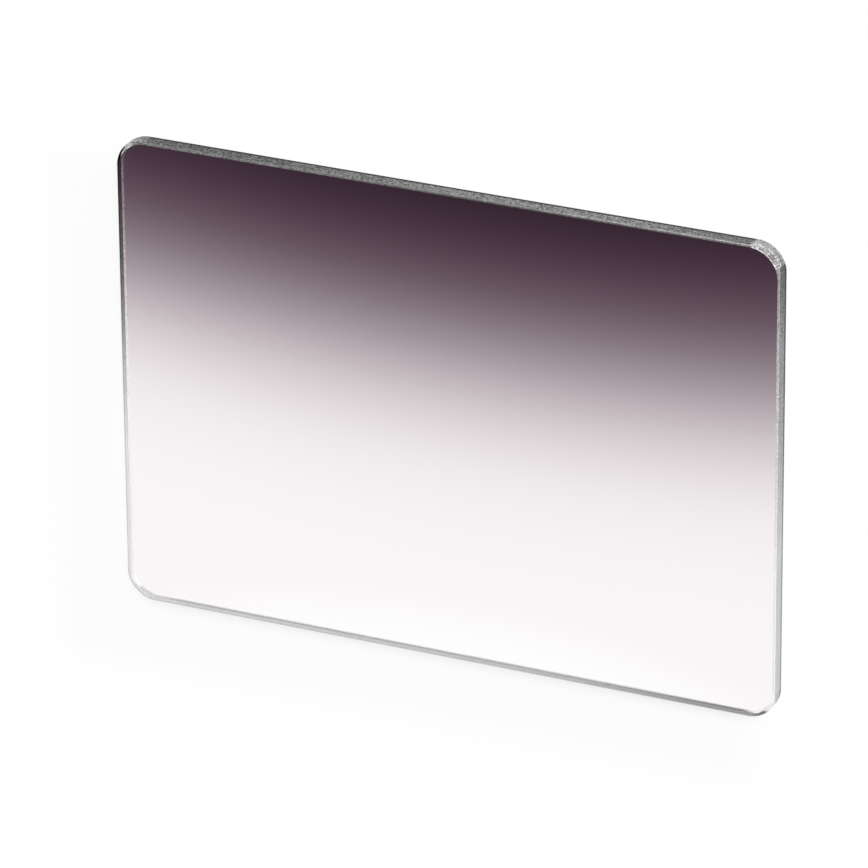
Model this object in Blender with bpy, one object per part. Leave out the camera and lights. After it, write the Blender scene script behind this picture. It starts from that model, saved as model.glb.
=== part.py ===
"""A rectangular graduated filter for a camera's matte box: one plate of optical glass.

The plate lies on its back face, with its coated face up. X runs along its long side, +Y points to
the dark edge and +Z out of the coated face. The origin is under its middle, on the back face.
All its edges are ground, and a narrow bevel, the arris, takes the sharp edge off both faces. The
arris is ground wider round the corners than along the sides, and stays at 45 degrees there.
"""

import math

import bmesh
import bpy
from mathutils import Vector

# Driving sizes, in metres
PLATE_LENGTH = 0.1435
PLATE_HEIGHT = 0.1016
PLATE_THICKNESS = 0.0040
CORNER_RADIUS = 0.0055
SIDE_ARRIS = 0.0004
CORNER_ARRIS = 0.0008

# How finely a corner's quarter turn is cut
CORNER_SEGMENTS = 24

# The coat, from the clear edge to the dark edge: the share of the height, and the glass's colour
COAT_COLOURS = (
    (0.00, (0.94, 0.92, 0.93)),
    (0.38, (0.89, 0.86, 0.87)),
    (0.58, (0.58, 0.52, 0.55)),
    (0.75, (0.23, 0.17, 0.20)),
    (1.00, (0.04, 0.02, 0.03)),
)
GROUND_EDGE_COLOUR = (0.32, 0.34, 0.33)


def clear_scene():
    for old in list(bpy.data.objects):
        bpy.data.objects.remove(old, do_unlink=True)


def face_corner_radius():
    """Radius of the polished face's corner, which leaves the wider arris at the corner's middle."""
    diagonal = math.sqrt(2)
    extra = CORNER_ARRIS - SIDE_ARRIS * diagonal
    return max(CORNER_RADIUS + extra / (diagonal - 1), 0.0)


def rounded_outline(length, height, radius):
    """Corner points of a rounded rectangle, one arc a corner, with each point's outward direction."""
    points = []
    for quarter, (side_x, side_y) in enumerate(((1, 1), (-1, 1), (-1, -1), (1, -1))):
        centre = Vector((side_x * (length / 2 - radius), side_y * (height / 2 - radius), 0))
        for step in range(CORNER_SEGMENTS + 1):
            angle = math.radians(90) * (quarter + step / CORNER_SEGMENTS)
            outward = Vector((math.cos(angle), math.sin(angle), 0))
            points.append((centre + radius * outward, outward))
    return points


def plate_sections():
    """The four outlines that the plate is lofted through, from the back face to the coated face."""
    edge = rounded_outline(PLATE_LENGTH, PLATE_HEIGHT, CORNER_RADIUS)
    face = rounded_outline(
        PLATE_LENGTH - 2 * SIDE_ARRIS,
        PLATE_HEIGHT - 2 * SIDE_ARRIS,
        face_corner_radius(),
    )
    top = Vector((0, 0, PLATE_THICKNESS))
    back_face = [point for point, outward in face]
    coated_face = [point + top for point, outward in face]
    lower_edge = []
    upper_edge = []
    for (edge_point, outward), (face_point, _) in zip(edge, face):
        # At 45 degrees the arris goes as deep as it is wide
        depth = Vector((0, 0, (edge_point - face_point).dot(outward)))
        lower_edge.append(edge_point + depth)
        upper_edge.append(edge_point + top - depth)
    return back_face, lower_edge, upper_edge, coated_face


def loft(name, sections):
    """A closed solid from outlines that run anticlockwise, seen from above, one above the other."""
    bm = bmesh.new()
    rings = [[bm.verts.new(point) for point in section] for section in sections]
    for lower, upper in zip(rings, rings[1:]):
        for here in range(len(lower)):
            after = (here + 1) % len(lower)
            bm.faces.new((lower[here], lower[after], upper[after], upper[here]))
    bm.faces.new(reversed(rings[0]))
    bm.faces.new(rings[-1])
    mesh = bpy.data.meshes.new(name)
    bm.to_mesh(mesh)
    bm.free()
    return mesh


def principled(name, roughness, transmission, ior=1.52):
    material = bpy.data.materials.new(name)
    material.use_nodes = True
    shader = material.node_tree.nodes["Principled BSDF"]
    shader.inputs["Roughness"].default_value = roughness
    shader.inputs["Metallic"].default_value = 0.0
    shader.inputs["Transmission Weight"].default_value = transmission
    shader.inputs["IOR"].default_value = ior
    return material, shader


def coated_glass():
    """Clear polished glass, with a coat that darkens it softly towards the dark edge."""
    material, shader = principled("coated_glass", roughness=0.02, transmission=1.0)
    nodes = material.node_tree.nodes
    links = material.node_tree.links
    place = nodes.new("ShaderNodeTexCoord")
    split = nodes.new("ShaderNodeSeparateXYZ")
    share = nodes.new("ShaderNodeMapRange")
    share.inputs["From Min"].default_value = -PLATE_HEIGHT / 2
    share.inputs["From Max"].default_value = PLATE_HEIGHT / 2
    coat = nodes.new("ShaderNodeValToRGB")
    stops = coat.color_ramp.elements
    for position, colour in COAT_COLOURS[1:-1]:
        stops.new(position)
    for stop, (position, colour) in zip(stops, COAT_COLOURS):
        stop.color = (*colour, 1.0)
    links.new(place.outputs["Object"], split.inputs["Vector"])
    links.new(split.outputs["Y"], share.inputs["Value"])
    links.new(share.outputs["Result"], coat.inputs["Fac"])
    links.new(coat.outputs["Color"], shader.inputs["Base Color"])
    return material


def ground_glass():
    """The satin surface that the grinding wheel leaves on the edges."""
    material, shader = principled("ground_glass", roughness=0.6, transmission=0.0)
    shader.inputs["Base Color"].default_value = (*GROUND_EDGE_COLOUR, 1.0)
    return material


def filter_plate(collection):
    plate = bpy.data.objects.new("filter_plate", loft("filter_plate", plate_sections()))
    collection.objects.link(plate)
    plate.data.materials.append(coated_glass())
    plate.data.materials.append(ground_glass())
    polished, ground = 0, 1
    for face in plate.data.polygons:
        flat_face = abs(face.normal.z) > math.cos(math.radians(20))
        face.material_index = polished if flat_face else ground
    plate.data.shade_smooth()
    plate.data.set_sharp_from_angle(angle=math.radians(30))
    return plate


clear_scene()
part_collection = bpy.data.collections.new("graduated_filter")
bpy.context.scene.collection.children.link(part_collection)
filter_plate(part_collection)
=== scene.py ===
"""The finish of a graduated filter plate for a camera's matte box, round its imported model.

The plate lies on its back face with the coated face up: X runs along its long side and +Y points
to the dark edge. Lengths are in metres, and those whose names end in _MM are in millimetres.
"""

import math

import bmesh
import bpy
from mathutils import Matrix, Vector


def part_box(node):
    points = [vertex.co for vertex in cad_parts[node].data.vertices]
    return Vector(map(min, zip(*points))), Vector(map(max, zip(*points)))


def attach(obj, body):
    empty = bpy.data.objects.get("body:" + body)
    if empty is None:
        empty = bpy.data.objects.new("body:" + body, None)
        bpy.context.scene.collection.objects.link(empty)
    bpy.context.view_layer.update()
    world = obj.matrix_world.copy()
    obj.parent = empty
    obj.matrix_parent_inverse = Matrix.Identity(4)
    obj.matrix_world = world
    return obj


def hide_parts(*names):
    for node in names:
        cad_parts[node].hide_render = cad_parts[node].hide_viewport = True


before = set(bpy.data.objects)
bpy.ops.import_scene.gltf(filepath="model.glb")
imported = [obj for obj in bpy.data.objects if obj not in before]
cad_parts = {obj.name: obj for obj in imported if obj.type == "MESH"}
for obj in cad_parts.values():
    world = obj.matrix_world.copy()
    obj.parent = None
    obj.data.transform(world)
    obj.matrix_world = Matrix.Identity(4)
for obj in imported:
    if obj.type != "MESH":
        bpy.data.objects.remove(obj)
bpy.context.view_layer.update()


# The plate is one piece of clear optical glass, cut to size, with its corners ground round. A
# grinding wheel then takes the sharp edge off both faces at 45 degrees. This bevel, the arris, is
# narrow along the sides and widens round each corner, where the plate turns under the wheel.
low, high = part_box("filter_plate")
LENGTH, HEIGHT, THICKNESS = high - low
MIDDLE = (low + high) / 2
CORNER_RADIUS = 0.0055
CORNER_STEPS = 24
CORNERS = ((1, 1), (-1, 1), (-1, -1), (1, -1))
SIDE_ARRIS = 0.0004
FACE_CORNER_RADIUS = 0.006066
SMOOTH_BELOW = math.radians(10)
TOUCHING = 2e-5


def select_only(kind, wanted):
    """In edit mode, selects the verts, edges or faces that pass the test, and nothing else."""
    modes = ("VERT", "EDGE", "FACE")
    bpy.context.tool_settings.mesh_select_mode = [mode == kind for mode in modes]
    bpy.ops.mesh.select_all(action="DESELECT")
    edited = bmesh.from_edit_mesh(bpy.context.object.data)
    elements = {"VERT": edited.verts, "EDGE": edited.edges, "FACE": edited.faces}[kind]
    for element in elements:
        element.select_set(wanted(element))
    edited.select_flush_mode()
    bmesh.update_edit_mesh(bpy.context.object.data)


def is_upright(edge):
    start, end = (vert.co for vert in edge.verts)
    return abs(start.z - end.z) > THICKNESS / 2


def is_on_face(vert):
    return abs(abs(vert.co.z - MIDDLE.z) - THICKNESS / 2) < TOUCHING


def is_level(face):
    return abs(face.normal.z) > 0.99


def is_land(face):
    """True for the faces that stand upright round the plate."""
    return abs(face.normal.z) < 0.01


def is_on_rim(vert):
    """True for the outer points, which the land's faces also meet."""
    return any(is_land(face) for face in vert.link_faces)


def turn_round_corner(vert, side_x, side_y):
    """How far round a corner a point lies: 0 on the short side, 90 degrees on the long one."""
    past_x = side_x * vert.co.x - (LENGTH / 2 - CORNER_RADIUS)
    past_y = side_y * vert.co.y - (HEIGHT / 2 - CORNER_RADIUS)
    if min(past_x, past_y) < -TOUCHING:
        return None
    return math.atan2(past_y, past_x)


bpy.ops.object.select_all(action="DESELECT")
bpy.ops.mesh.primitive_cube_add(size=1, location=MIDDLE, scale=(LENGTH, HEIGHT, THICKNESS))
glass_plate = bpy.context.object
glass_plate.name = "glass_plate"
bpy.ops.object.transform_apply(location=True, rotation=True, scale=True)

bpy.ops.object.mode_set(mode="EDIT")
select_only("EDGE", is_upright)
bpy.ops.mesh.bevel(offset=CORNER_RADIUS, segments=CORNER_STEPS, affect="EDGES", clamp_overlap=False)
select_only("FACE", is_level)
bpy.ops.mesh.inset(thickness=SIDE_ARRIS)
select_only("VERT", is_on_rim)
bpy.ops.transform.resize(value=(1, 1, 1 - SIDE_ARRIS / (THICKNESS / 2)), center_override=MIDDLE)

# Each corner of the polished faces draws back to a larger radius, which widens the arris there
face_growth = FACE_CORNER_RADIUS / (CORNER_RADIUS - SIDE_ARRIS)
for side_x, side_y in CORNERS:
    select_only(
        "VERT",
        lambda vert: is_on_face(vert) and turn_round_corner(vert, side_x, side_y) is not None,
    )
    sharp_corner = (side_x * (LENGTH / 2 - SIDE_ARRIS), side_y * (HEIGHT / 2 - SIDE_ARRIS), MIDDLE.z)
    bpy.ops.transform.resize(value=(face_growth, face_growth, 1), center_override=sharp_corner)

# The arris stays at 45 degrees, so it also goes deeper down the edge there
step = math.radians(90) / CORNER_STEPS
extra_arris = FACE_CORNER_RADIUS - (CORNER_RADIUS - SIDE_ARRIS)
land_half = THICKNESS / 2 - SIDE_ARRIS


def is_at_turn(vert, turn):
    """True for an outer point that lies at this turn round any of the corners."""
    if not is_on_rim(vert):
        return False
    turns = [turn_round_corner(vert, *corner) for corner in CORNERS]
    return any(found is not None and abs(found - turn) < step / 4 for found in turns)


for count in range(1, CORNER_STEPS):
    turn = count * step
    select_only("VERT", lambda vert: is_at_turn(vert, turn))
    dip = extra_arris * (math.cos(turn) + math.sin(turn) - 1)
    bpy.ops.transform.resize(value=(1, 1, 1 - dip / land_half), center_override=MIDDLE)
bpy.ops.object.mode_set(mode="OBJECT")
bpy.ops.object.shade_smooth_by_angle(angle=SMOOTH_BELOW)

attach(glass_plate, "root")
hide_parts("filter_plate")


# Both broad faces are polished, and the upper one carries the coat: dark plum grey along one long
# side, fading to clear past the middle. What is seen through the plate is seen through both faces,
# so each takes half of the coat's density. The light for what lies under them passes freely.
CLEAR_DENSITY = (0.019, 0.034, 0.031)
COAT_SHARE = (0.855, 0.975, 0.905)
DENSITY_PER_MM = 0.0415
FADE_START_MM = 8.7
FADE_SOFTNESS_MM = 9.35
FADE_BOW_PER_MM = 0.00087
FADE_BOW_CENTRE_MM = 11.0
PLUM_OVER_DENSITY = (0.45, 2.2)
PLUM_GAIN = 0.14
# Near the clear edge most of the glass's own faint tint is taken out, so the glass is lighter there
BARE_SHARE = 0.85
BARE_FROM_MM = -35.5
BARE_TO_MM = -48.5
BARE_BOW_PER_MM = 0.0024
BARE_BOW_CENTRE_MM = 6.0
GLASS_IOR = 1.52
BLOOM_REFLECTS = (0.05, 0.05, 0.05, 1.0)


class Wire:
    """A node's output in a material's tree. Python's operators on it add their Math nodes."""

    def __init__(self, tree, socket=None):
        self.tree = tree
        self.socket = socket

    def node(self, kind, settings=None, inputs=None, output=0):
        """Adds a node. Its settings go first, then the value or the wire of each socket."""
        added = self.tree.nodes.new(kind)
        for name, value in (settings or {}).items():
            setattr(added, name, value)
        for name, value in (inputs or {}).items():
            if isinstance(value, Wire):
                self.tree.links.new(value.socket, added.inputs[name])
            else:
                added.inputs[name].default_value = value
        return Wire(self.tree, added.outputs[output] if added.outputs else None)

    def __add__(self, other):
        return math_node("ADD", self, other)

    def __radd__(self, other):
        return math_node("ADD", other, self)

    def __sub__(self, other):
        return math_node("SUBTRACT", self, other)

    def __rsub__(self, other):
        return math_node("SUBTRACT", other, self)

    def __mul__(self, other):
        return math_node("MULTIPLY", self, other)

    def __rmul__(self, other):
        return math_node("MULTIPLY", other, self)

    def __truediv__(self, other):
        return math_node("DIVIDE", self, other)

    def __rpow__(self, other):
        return math_node("POWER", other, self)


def math_node(operation, *values):
    """The outcome of a Math node's operation on wires and numbers."""
    wire = next(value for value in values if isinstance(value, Wire))
    return wire.node("ShaderNodeMath", {"operation": operation}, dict(enumerate(values)))


def smooth_step(wire, begin, end):
    """0 up to begin, 1 from end on, and a soft change between the two."""
    return wire.node(
        "ShaderNodeMapRange",
        {"interpolation_type": "SMOOTHSTEP"},
        {"Value": wire, "From Min": begin, "From Max": end},
    )


def new_material(name, piece):
    """Gives the piece an empty material, and returns the wire that its tree grows from."""
    material = bpy.data.materials.new(name)
    material.use_nodes = True
    material.node_tree.nodes.clear()
    piece.data.materials.append(material)
    return Wire(material.node_tree)


def place_in_mm(start):
    """Where the shaded point lies: millimetres along X, Y and Z from the plate's origin."""
    place = start.node("ShaderNodeTexCoord", output="Object")
    return [start.node("ShaderNodeSeparateXYZ", {}, {0: place}, axis) * 1000 for axis in "XYZ"]


def ray_test(start, kind):
    """1 for this kind of ray, and 0 for the others."""
    return start.node("ShaderNodeLightPath", output=f"Is {kind} Ray")


def mixed(share, first, second):
    """A shader that goes from the first to the second as the share goes from 0 to 1."""
    return share.node("ShaderNodeMixShader", {}, {0: share, 1: first, 2: second})


def coat_density(x_mm, y_mm):
    """The coat's optical density in green light: none at the clear side, then a soft steady rise."""
    bow = x_mm - FADE_BOW_CENTRE_MM
    past_start = (y_mm - FADE_START_MM - bow * bow * FADE_BOW_PER_MM) / FADE_SOFTNESS_MM
    softened = math_node("LOGARITHM", math_node("EXPONENT", past_start) + 1, math.e)
    return softened * (DENSITY_PER_MM * FADE_SOFTNESS_MM)


start = new_material("coated_optical_glass", glass_plate)
x_mm, y_mm, z_mm = place_in_mm(start)
density = coat_density(x_mm, y_mm)
bow = x_mm - BARE_BOW_CENTRE_MM
bare = smooth_step(bow * bow * BARE_BOW_PER_MM + y_mm, BARE_FROM_MM, BARE_TO_MM) * BARE_SHARE
plum = smooth_step(density, *PLUM_OVER_DENSITY) * PLUM_GAIN
red, green, blue = [density * share for share in COAT_SHARE]
passed = [
    10 ** ((1 - bare) * -clear - coated)
    for coated, clear in zip((red, green + plum, blue), CLEAR_DENSITY)
]
tint = start.node("ShaderNodeCombineColor", {}, dict(enumerate(passed)))
polished = start.node(
    "ShaderNodeBsdfPrincipled",
    {},
    {
        "Base Color": tint,
        "Roughness": 0.0,
        "IOR": GLASS_IOR,
        "Transmission Weight": 1.0,
        "Specular Tint": BLOOM_REFLECTS,
    },
)
open_air = start.node("ShaderNodeBsdfTransparent")
passes_bounce = mixed(ray_test(start, "Diffuse"), polished, open_air)
passes_lamps = mixed(ray_test(start, "Shadow"), passes_bounce, open_air)
start.node("ShaderNodeOutputMaterial", {}, {"Surface": passes_lamps})


# The land, the flat band that is left between the two arrises, is ground with a coarse wheel and left
# matt. It is a grained grey with a dark line along its back rim. Its tone carries painted light and
# shade: dark beside the coat's dark side, where its light comes through the coat, and paler towards the
# clear one. The corners on the lit side carry a painted highlight.
LAND_TINT = (0.985, 1.0, 0.99)
# Which way the land faces at a point, and the half of the plate that the point is in
LIT_FACING = (-0.12, 0.02)
DARK_SIDE_FACING = (0.6, 0.8)
CLEAR_SIDE_FACING = (-0.3, -0.7)
TO_CLEAR_HALF_MM = (20, -20)
TO_DARK_HALF_MM = (-20, 20)

# The plain grey, as painted light and shade: dark along the dark side, and rising in two steps
# down the short sides
MIDDLE_MM = 18.0
DARK_TONES = (0.2, 0.1)
DARKER_OVER_MM = (16.0, 68.0)
FIRST_RISE = 0.15
FIRST_RISE_PER_MM = 0.0008
FIRST_RISE_OVER_MM = (47.0, 28.0)
MAIN_RISE = 0.545
MAIN_RISE_PER_MM = -0.0024
MAIN_RISE_OVER_MM = (30.0, -22.0)
CLEAR_SIDE_TONE = 0.52
CLEAR_SIDE_TONE_PER_MM = -0.0016
CLEAR_SIDE_DIP = 0.12
CLEAR_SIDE_DIP_OVER_MM = (10, 60)
RIGHT_END_SHADE = 0.5
RIGHT_END_MM = (66.5, 70.0)
LEFT_END_GAIN = 0.1
LEFT_END_MM = (-66.0, -68.0)
FRONT_SHADE = 0.5
FRONT_SHADE_UP_MM = (2.5, 2.9)
FRONT_SHADE_ALONG_MM = (-20, 10)

# The painted highlight on the corners of the lit side
HIGHLIGHT_PAST_X_MM = (65.2, 65.6)
HIGHLIGHT_PAST_Y_MM = 45.9
HIGHLIGHT_CENTRE_Y_MM = 0.9
HIGHLIGHT_TONES = (0.345, 0.54)
HIGHLIGHT_UP_MM = (2.3, 2.8)
HIGHLIGHT_GAIN_PER_MM = 0.0007
LEFT_HIGHLIGHT_SHADE = 0.42
LEFT_HIGHLIGHT_SHADE_MM = (-69.5, -66.0)
TO_LEFT_PART_MM = (0, -40)
CLEAR_SIDE_HIGHLIGHT_TONES = (0.6, 1.0)
CLEAR_SIDE_HIGHLIGHT_FACING = (-0.15, -0.55)

# The dark line along the back rim
PALER_OVER_MM = (40.0, -20.0)
RIM_LINE_UP_MM = (1.25, 1.0)
RIM_LINES = (0.85, 0.42)
HIGHLIGHT_RIM_GAIN = 0.15
HIGHLIGHT_RIM_ENDS_FACING = ((-0.6, -0.75), (0.0, 0.1))
SHADED_RIM_SHARE = 0.15

# The chipped grain, with the wheel's broad streaks and fine scratches
FACETS_PER_MM = 4.0
FINE_FACETS_PER_MM = 11.0
FINE_FACETS_SHARE = 0.35
COARSE_GRAINS = (2.6, 1.95)
COARSE_GRAINS_OVER_MM = (-40, 0)
FINE_GRAIN = 1.05
LEAST_GRAIN = 0.13
HIGHLIGHT_GRAIN = 1.4
STREAKS_PER_MM = (0.12, 0.12, 4.0)
STREAK_SHARE = 0.5
SCRATCHES_PER_MM = (6.6, 6.6, 6.6)
SCRATCH_DEPTH = 0.00004


def scaled_place(start, per_mm):
    """The place on the plate, scaled to this many grains a millimetre along X, Y and Z."""
    place = start.node("ShaderNodeTexCoord", output="Object")
    per_metre = [1000 * count for count in per_mm]
    return start.node("ShaderNodeVectorMath", {"operation": "MULTIPLY"}, {0: place, 1: per_metre})


def noise(start, per_mm, detail):
    """Fine noise, from about -0.3 to 0.3."""
    place = scaled_place(start, per_mm)
    return start.node("ShaderNodeTexNoise", {}, {"Vector": place, "Scale": 1.0, "Detail": detail}) - 0.5


def facets(start, per_mm):
    """Facets with so many a millimetre: each one's tone is at random, from -0.5 to 0.5."""
    place = scaled_place(start, [per_mm] * 3)
    tones = start.node("ShaderNodeTexVoronoi", {}, {"Vector": place, "Scale": 1.0}, "Color")
    return start.node("ShaderNodeSeparateColor", {}, {0: tones}, "Red") - 0.5


def ground_grain(start, grain):
    """The chipped facets that the wheel leaves in glass, round 1, with finer ones inside them."""
    fine = facets(start, FINE_FACETS_PER_MM) * (grain * FINE_FACETS_SHARE) + 1
    return (facets(start, FACETS_PER_MM) * grain + 1) * fine


def facing(along_mm, length):
    """How far an edge faces one way along an axis, from -1 to 1: on a corner it turns from 0 to 1."""
    straight_mm = (length / 2 - CORNER_RADIUS) * 1000
    past_straight = math_node("MAXIMUM", math_node("ABSOLUTE", along_mm) - straight_mm, 0)
    return past_straight * math_node("SIGN", along_mm) / (CORNER_RADIUS * 1000)


def in_highlight_corners(x_mm, y_mm, highlight_past_x_mm):
    """1 on the corner stretches that carry the painted highlight, and 0 on the rest of the edges."""
    off_centre_y = math_node("ABSOLUTE", y_mm - HIGHLIGHT_CENTRE_Y_MM)
    past_x = smooth_step(math_node("ABSOLUTE", x_mm), *highlight_past_x_mm)
    return past_x * math_node("GREATER_THAN", off_centre_y, HIGHLIGHT_PAST_Y_MM)


def between(share, first, second):
    """From first to second as the share goes from 0 to 1."""
    return first + share * (second - first)


def tinted(tone, shares):
    """A colour of this tone, with each channel's share of it."""
    return tone.node("ShaderNodeCombineColor", {}, {n: tone * share for n, share in enumerate(shares)})


start = new_material("ground_land", glass_plate)
x_mm, y_mm, z_mm = place_in_mm(start)
faces_x, faces_y = facing(x_mm, LENGTH), facing(y_mm, HEIGHT)
is_lit = smooth_step(faces_x + faces_y, *LIT_FACING)
on_dark_side = smooth_step(faces_y, *DARK_SIDE_FACING)
on_clear_side = smooth_step(faces_y, *CLEAR_SIDE_FACING)

# The plain grey of each side, painted light and shade
off_middle = math_node("ABSOLUTE", x_mm - MIDDLE_MM)
dark_tone = between(smooth_step(off_middle, *DARKER_OVER_MM), *DARK_TONES)
first_rise = smooth_step(y_mm, *FIRST_RISE_OVER_MM) * (x_mm * FIRST_RISE_PER_MM + FIRST_RISE)
main_rise = smooth_step(y_mm, *MAIN_RISE_OVER_MM) * (x_mm * MAIN_RISE_PER_MM + MAIN_RISE)
side_tone = dark_tone + first_rise + main_rise
clear_side_dip = smooth_step(x_mm, *CLEAR_SIDE_DIP_OVER_MM) * CLEAR_SIDE_DIP
clear_side_tone = x_mm * CLEAR_SIDE_TONE_PER_MM + CLEAR_SIDE_TONE - clear_side_dip
clear_side_tone = clear_side_tone * (1 - smooth_step(x_mm, *RIGHT_END_MM) * RIGHT_END_SHADE)
clear_side_tone = clear_side_tone * (1 + smooth_step(x_mm, *LEFT_END_MM) * LEFT_END_GAIN)
plain_tone = between(on_clear_side, side_tone, clear_side_tone)

# The painted highlight of the corners
highlight_tone = between(smooth_step(z_mm, *HIGHLIGHT_UP_MM), *HIGHLIGHT_TONES) * (x_mm * HIGHLIGHT_GAIN_PER_MM + 1)
left_shade = smooth_step(x_mm, *LEFT_HIGHLIGHT_SHADE_MM) * smooth_step(x_mm, *TO_LEFT_PART_MM)
highlight_tone = highlight_tone * (1 - left_shade * LEFT_HIGHLIGHT_SHADE)
clear_side_highlight = between(smooth_step(faces_y, *CLEAR_SIDE_HIGHLIGHT_FACING), *CLEAR_SIDE_HIGHLIGHT_TONES)
highlight_tone = between(smooth_step(y_mm, *TO_CLEAR_HALF_MM), highlight_tone, clear_side_highlight)
in_painted_highlight = in_highlight_corners(x_mm, y_mm, HIGHLIGHT_PAST_X_MM) * is_lit

# Along the unlit left side the front part of the land lies in shade
front_shade = smooth_step(z_mm, *FRONT_SHADE_UP_MM) * smooth_step(y_mm, *FRONT_SHADE_ALONG_MM)
tone = between(in_painted_highlight, plain_tone, highlight_tone) * (1 - front_shade * (1 - is_lit) * FRONT_SHADE)

# The line along the back rim is taken off within the painted highlight, but for a stretch at the
# clear right corner
paleness = smooth_step(y_mm, *PALER_OVER_MM)
rim_line = between(paleness, *RIM_LINES) + in_painted_highlight * HIGHLIGHT_RIM_GAIN
rim_line = rim_line * smooth_step(z_mm, *RIM_LINE_UP_MM) * between(is_lit, SHADED_RIM_SHARE, 1.0)
for end_facing in HIGHLIGHT_RIM_ENDS_FACING:
    rim_line = rim_line * (1 - in_painted_highlight * smooth_step(faces_y, *end_facing))

# The grain is coarse on the dark side, and fades to almost none towards the clear one
coarse_grain = between(smooth_step(x_mm, *COARSE_GRAINS_OVER_MM), *COARSE_GRAINS)
grain = between(on_dark_side, (1 - paleness) * FINE_GRAIN + LEAST_GRAIN, coarse_grain)
grain = between(in_painted_highlight * smooth_step(y_mm, *TO_DARK_HALF_MM), grain, HIGHLIGHT_GRAIN)
streaks = noise(start, STREAKS_PER_MM, 1.0) * STREAK_SHARE
worked = ground_grain(start, grain) * (1 + streaks) * (1 - rim_line)
scratches = noise(start, SCRATCHES_PER_MM, 2.0)
bump = start.node(
    "ShaderNodeBump", {}, {"Height": scratches, "Distance": SCRATCH_DEPTH, "Strength": 0.4}, "Normal"
)
ground = start.node(
    "ShaderNodeBsdfPrincipled",
    {},
    {
        "Base Color": tinted(tone * worked, LAND_TINT),
        "Roughness": 0.6,
        "IOR": GLASS_IOR,
        "Specular IOR Level": 0.25,
        "Normal": bump,
    },
)
start.node("ShaderNodeOutputMaterial", {}, {"Surface": ground})


# The arris is cut with a finer wheel, to a satin finish. Where it faces the light it has a satin
# gleam, and a painted gleam in its colour makes it brighter there. The one along the back face shows
# as a pale line through the glass. At the left and along the clear edge the front one turns away: it is
# matt there, in a painted shade of the coated face's colour, twice as deep.
ARRIS_TINT = (1.0, 0.97, 0.99)
# Which way the arris faces at a point, and whether it is the back one
ARRIS_FOOT_MM = 3.6
LIT_AT_FOOT = 0.2
LIT_PER_MM = 0.6
ARRIS_LIT_FACING = (-0.15, 0.1)
ARRIS_CLEAR_SIDE_FACING = (-0.6, -0.8)
DARK_HALF_MM = (-5, 5)
BACK_BELOW_MM = (2.5, 1.5)

# The painted gleam of the lit sides, which falls towards the face
RIGHT_TONE = 0.76
RIGHT_TONE_PER_MM = -0.0095
RIGHT_TONE_LIMITS = (0.31, 0.95)
DARK_SIDE_TONE = 0.22
DARK_SIDE_TONE_PER_MM = 0.0021
DARK_SIDE_TONE_CURVE = 0.000012
LEAST_DARK_SIDE_TONE = 0.195
INNER_HALF_UP_MM = (3.7, 3.85)
RIGHT_FALL = 0.12
DARK_SIDE_FALLS = (0.25, 0.68)
DARK_SIDE_FALLS_OVER_MM = (-35, 5)

# The painted highlight on the lit corners, brightest along the face
ARRIS_HIGHLIGHT_PAST_X_MM = (66.2, 67.9)
ARRIS_HIGHLIGHT_CENTRE_X_MM = -1.15
ARRIS_HIGHLIGHT_TONE = 0.4
HIGHLIGHT_EDGE_GAIN = 0.8
HIGHLIGHT_EDGE_UP_MM = (3.8, 3.88)
CLEAR_SIDE_ARRIS_HIGHLIGHT = 1.0

# The painted shade of the matt stretches that turn away from the light
SHADED_TONE = 0.68
SHADED_DIP = 0.15
CLEAR_PART_GAIN = 0.08
CLEAR_PART_MM = (-5, -25)
SHADED_END_FALL = 0.6
SHADED_END_MM = (65, 69)

# The back arris, with a dark line along the clear edge
BACK_TONES = (0.95, 0.8)
BACK_TONES_OVER_MM = (15, 35)
BACK_CLEAR_FALL = 0.07
BACK_CLEAR_FALL_MM = (0, -30)
BACK_LINE_UP_MM = (0.1, 0.28)
BACK_LINE_RISE_MM = (30, 66)
BACK_LINES = (0.6, 0.8)
BACK_LINE_AT_RIM = 0.2
BACK_LINE_RIGHT_END_MM = (67, 64)
BACK_LINE_LEFT_END_MM = (-60, -66)
BACK_LINE_LEFT_FALL = 0.4

# The arris's grain, weaker than the land's
DARK_ARRIS_GRAINS = (0.75, 1.0)
CLEAR_ARRIS_GRAIN = 0.15

start = new_material("fine_ground_arris", glass_plate)
x_mm, y_mm, z_mm = place_in_mm(start)
faces_x, faces_y = facing(x_mm, LENGTH), facing(y_mm, HEIGHT)
lit_by_height = (z_mm - ARRIS_FOOT_MM) * LIT_PER_MM + LIT_AT_FOOT
dark_half = smooth_step(y_mm, *DARK_HALF_MM)
is_lit = smooth_step(lit_by_height * dark_half + faces_x + faces_y, *ARRIS_LIT_FACING)
is_back = smooth_step(z_mm, *BACK_BELOW_MM)
on_dark_side = smooth_step(faces_y, *DARK_SIDE_FACING)
on_clear_side = smooth_step(faces_y, *ARRIS_CLEAR_SIDE_FACING)

# The lit sides, with their painted gleam
dark_side_tone = x_mm * (x_mm * DARK_SIDE_TONE_CURVE + DARK_SIDE_TONE_PER_MM) + DARK_SIDE_TONE
dark_side_tone = math_node("MAXIMUM", dark_side_tone, LEAST_DARK_SIDE_TONE)
least, most = RIGHT_TONE_LIMITS
right_side_tone = math_node("MAXIMUM", y_mm * RIGHT_TONE_PER_MM + RIGHT_TONE, least)
right_side_tone = math_node("MINIMUM", right_side_tone, most)
inner_half = smooth_step(z_mm, *INNER_HALF_UP_MM)
dark_side_fall = between(smooth_step(x_mm, *DARK_SIDE_FALLS_OVER_MM), *DARK_SIDE_FALLS)
inner_fall = inner_half * between(on_dark_side, RIGHT_FALL, dark_side_fall)
plain_tone = between(on_dark_side, right_side_tone, dark_side_tone) * (1 - inner_fall)

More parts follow.
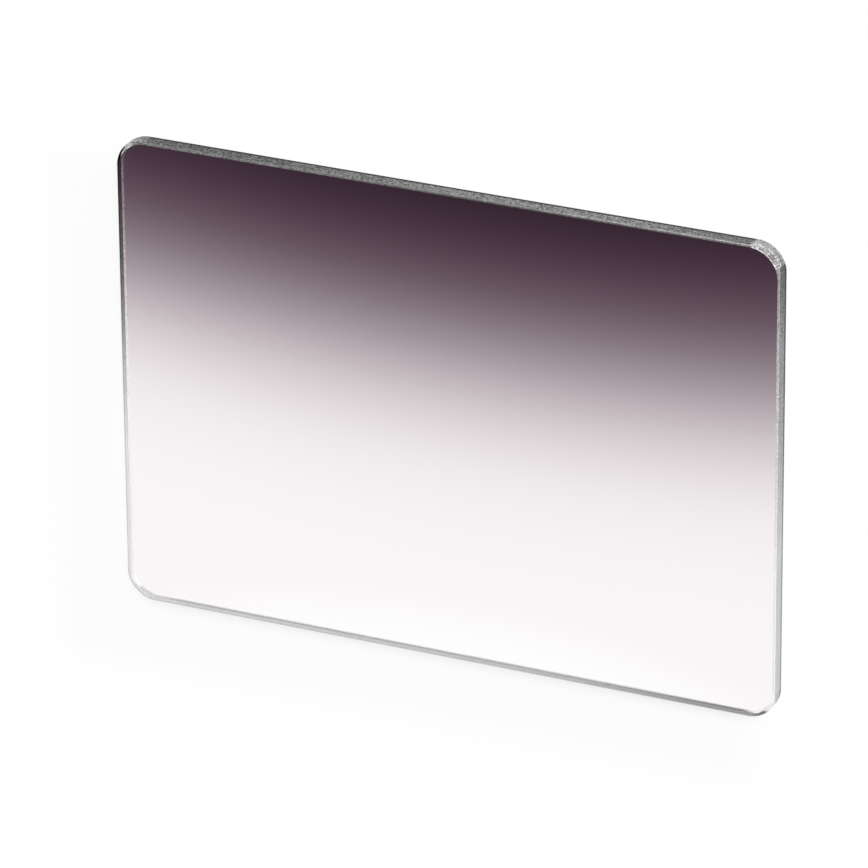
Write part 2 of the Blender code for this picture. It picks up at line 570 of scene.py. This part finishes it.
# The painted highlight of the lit corners
highlight_tone = (smooth_step(z_mm, *HIGHLIGHT_EDGE_UP_MM) * HIGHLIGHT_EDGE_GAIN + 1) * ARRIS_HIGHLIGHT_TONE
highlight_tone = between(smooth_step(y_mm, *TO_CLEAR_HALF_MM), highlight_tone, CLEAR_SIDE_ARRIS_HIGHLIGHT)
in_painted_highlight = in_highlight_corners(x_mm - ARRIS_HIGHLIGHT_CENTRE_X_MM, y_mm, ARRIS_HIGHLIGHT_PAST_X_MM) * is_lit
lit_tone = between(in_painted_highlight, plain_tone, highlight_tone)

# The unlit sides, whose painted shade shows the coat at twice its density
shaded_tone = SHADED_TONE - smooth_step(x_mm, *CLEAR_SIDE_DIP_OVER_MM) * SHADED_DIP
shaded_tone = 10 ** (coat_density(x_mm, y_mm) * -2) * shaded_tone
shaded_tone = shaded_tone + smooth_step(y_mm, *CLEAR_PART_MM) * CLEAR_PART_GAIN
shaded_tone = shaded_tone * (1 - smooth_step(x_mm, *SHADED_END_MM) * SHADED_END_FALL)

# The back face's arris, seen through the glass
back_tone = between(smooth_step(y_mm, *BACK_TONES_OVER_MM), *BACK_TONES)
back_tone = back_tone - smooth_step(y_mm, *BACK_CLEAR_FALL_MM) * BACK_CLEAR_FALL
back_line = between(smooth_step(x_mm, *BACK_LINE_RISE_MM), *BACK_LINES)
back_line = between(smooth_step(z_mm, *BACK_LINE_UP_MM), BACK_LINE_AT_RIM, back_line)
back_line = back_line * on_clear_side * smooth_step(x_mm, *BACK_LINE_RIGHT_END_MM)
back_line = back_line * (1 - smooth_step(x_mm, *BACK_LINE_LEFT_END_MM) * BACK_LINE_LEFT_FALL)
arris_tone = between(is_back, between(is_lit, shaded_tone, lit_tone), back_tone * (1 - back_line))

# The grain, and the two finishes: satin where the arris is lit or at the back, matt in the painted
# shade
dark_arris_grain = between(on_dark_side, *DARK_ARRIS_GRAINS)
arris_grain = between(smooth_step(y_mm, *PALER_OVER_MM), dark_arris_grain, CLEAR_ARRIS_GRAIN)
arris_grain = between(in_painted_highlight * smooth_step(y_mm, *TO_DARK_HALF_MM), arris_grain, HIGHLIGHT_GRAIN)
worked = ground_grain(start, arris_grain)
colour = tinted(arris_tone * worked, ARRIS_TINT)
satin = start.node(
    "ShaderNodeBsdfPrincipled",
    {},
    {"Base Color": colour, "Roughness": 0.45, "IOR": GLASS_IOR, "Specular IOR Level": 0.15},
)
matt = start.node("ShaderNodeBsdfPrincipled", {}, {"Base Color": colour, "Specular IOR Level": 0.0})
arris = mixed(math_node("MAXIMUM", is_lit, is_back), matt, satin)
start.node("ShaderNodeOutputMaterial", {}, {"Surface": arris})


def is_arris(face):
    return not is_level(face) and not is_land(face)


bpy.ops.object.mode_set(mode="EDIT")
for slot_index, wanted in enumerate((is_level, is_land, is_arris)):
    select_only("FACE", wanted)
    glass_plate.active_material_index = slot_index
    bpy.ops.object.material_slot_assign()
bpy.ops.object.mode_set(mode="OBJECT")


# A wide white table under the plate. Round the left and the clear edge it takes the plate's soft
# shadow, and from there it grows to the pure white that it has wherever the glass shows it.
TABLE_SIZE = 8.0
TABLE_COLOUR = (0.95, 0.95, 0.95, 1.0)
TABLE_GAP = 0.0002
WHITE_AT_PLATE = 0.7
SHADED_CENTRE = (-0.012, -0.012, 0.0)
WHITE_BEYOND = 0.012

bpy.ops.object.select_all(action="DESELECT")
bpy.ops.mesh.primitive_plane_add(size=TABLE_SIZE, location=(0, 0, low.z - TABLE_GAP))
table_top = bpy.context.object
table_top.name = "table_top"
bpy.ops.object.transform_apply(location=True, rotation=True, scale=True)
start = new_material("white_paper", table_top)
place = start.node("ShaderNodeTexCoord", output="Object")


def vector_node(operation, *values, output=0):
    return place.node("ShaderNodeVectorMath", {"operation": operation}, dict(enumerate(values)), output)


# How far a point of the table lies outside the plate's outline
off_centre = vector_node("ABSOLUTE", vector_node("SUBTRACT", place, SHADED_CENTRE))
past_plate = vector_node("SUBTRACT", off_centre, (LENGTH / 2, HEIGHT / 2, 1.0))
away = vector_node("LENGTH", vector_node("MAXIMUM", past_plate, (0, 0, 0)), output="Value")
seen_white = between(smooth_step(away, 0, WHITE_BEYOND), WHITE_AT_PLATE, 1.0)
whiteness = ray_test(start, "Camera") * seen_white
whiteness = whiteness + ray_test(start, "Glossy") + ray_test(start, "Transmission")
matt = start.node("ShaderNodeBsdfDiffuse", {}, {"Color": TABLE_COLOUR})
white = start.node("ShaderNodeEmission", {}, {"Color": (1, 1, 1, 1), "Strength": 1.0})
start.node("ShaderNodeOutputMaterial", {}, {"Surface": mixed(whiteness, matt, white)})


# Studio light: an even white room at half strength, and one wide soft lamp above the dark edge that
# gives the other half and lays the plate's thin shadow along its clear edge.
ROOM_STRENGTH = 0.5
LAMP_PLACE = Vector((0.35, 0.80, 1.20))
LAMP_SIZE = 0.8
LAMP_WATTS = 14.0

room = bpy.data.worlds.new("room")
room.use_nodes = True
room.node_tree.nodes.clear()
bpy.context.scene.world = room
start = Wire(room.node_tree)
seen_rays = ray_test(start, "Camera") + ray_test(start, "Glossy") + ray_test(start, "Transmission")
is_seen = math_node("MINIMUM", seen_rays, 1.0)
strength = ROOM_STRENGTH + is_seen * (1.0 - ROOM_STRENGTH)
air = start.node("ShaderNodeBackground", {}, {"Color": (1, 1, 1, 1), "Strength": strength})
start.node("ShaderNodeOutputWorld", {}, {"Surface": air})

bpy.ops.object.light_add(type="AREA", location=LAMP_PLACE)
lamp = bpy.context.object
lamp.name = "soft_lamp"
lamp.data.shape = "DISK"
lamp.data.size = LAMP_SIZE
lamp.data.energy = LAMP_WATTS
lamp.rotation_euler = LAMP_PLACE.to_track_quat("Z", "Y").to_euler()


# The camera looks down on the coated face from the side at which the photograph's camera stands to
# the plate: to the right of its normal and above it, with a long lens and a slight roll.
AIM = Vector((-0.00296, -0.0025, 0.002))
DISTANCE = 1.4741
AZIMUTH = math.radians(24.81)
ELEVATION = math.radians(24.44)
ROLL = math.radians(-0.467)
LENS_MM = 305.9

back = Vector((
    math.sin(AZIMUTH) * math.cos(ELEVATION),
    math.sin(ELEVATION),
    math.cos(AZIMUTH) * math.cos(ELEVATION),
))
level_right = Vector((0, 1, 0)).cross(back).normalized()
level_up = back.cross(level_right)
right = math.cos(ROLL) * level_right + math.sin(ROLL) * level_up
up = math.cos(ROLL) * level_up - math.sin(ROLL) * level_right
bpy.ops.object.camera_add(location=AIM + DISTANCE * back)
camera = bpy.context.object
camera.name = "camera"
camera.rotation_euler = Matrix((right, up, back)).transposed().to_euler()
camera.data.lens = LENS_MM
camera.data.sensor_width = 36.0
camera.data.clip_start = 0.1
camera.data.clip_end = 50.0
bpy.context.scene.camera = camera
bpy.context.scene.view_settings.view_transform = "Standard"
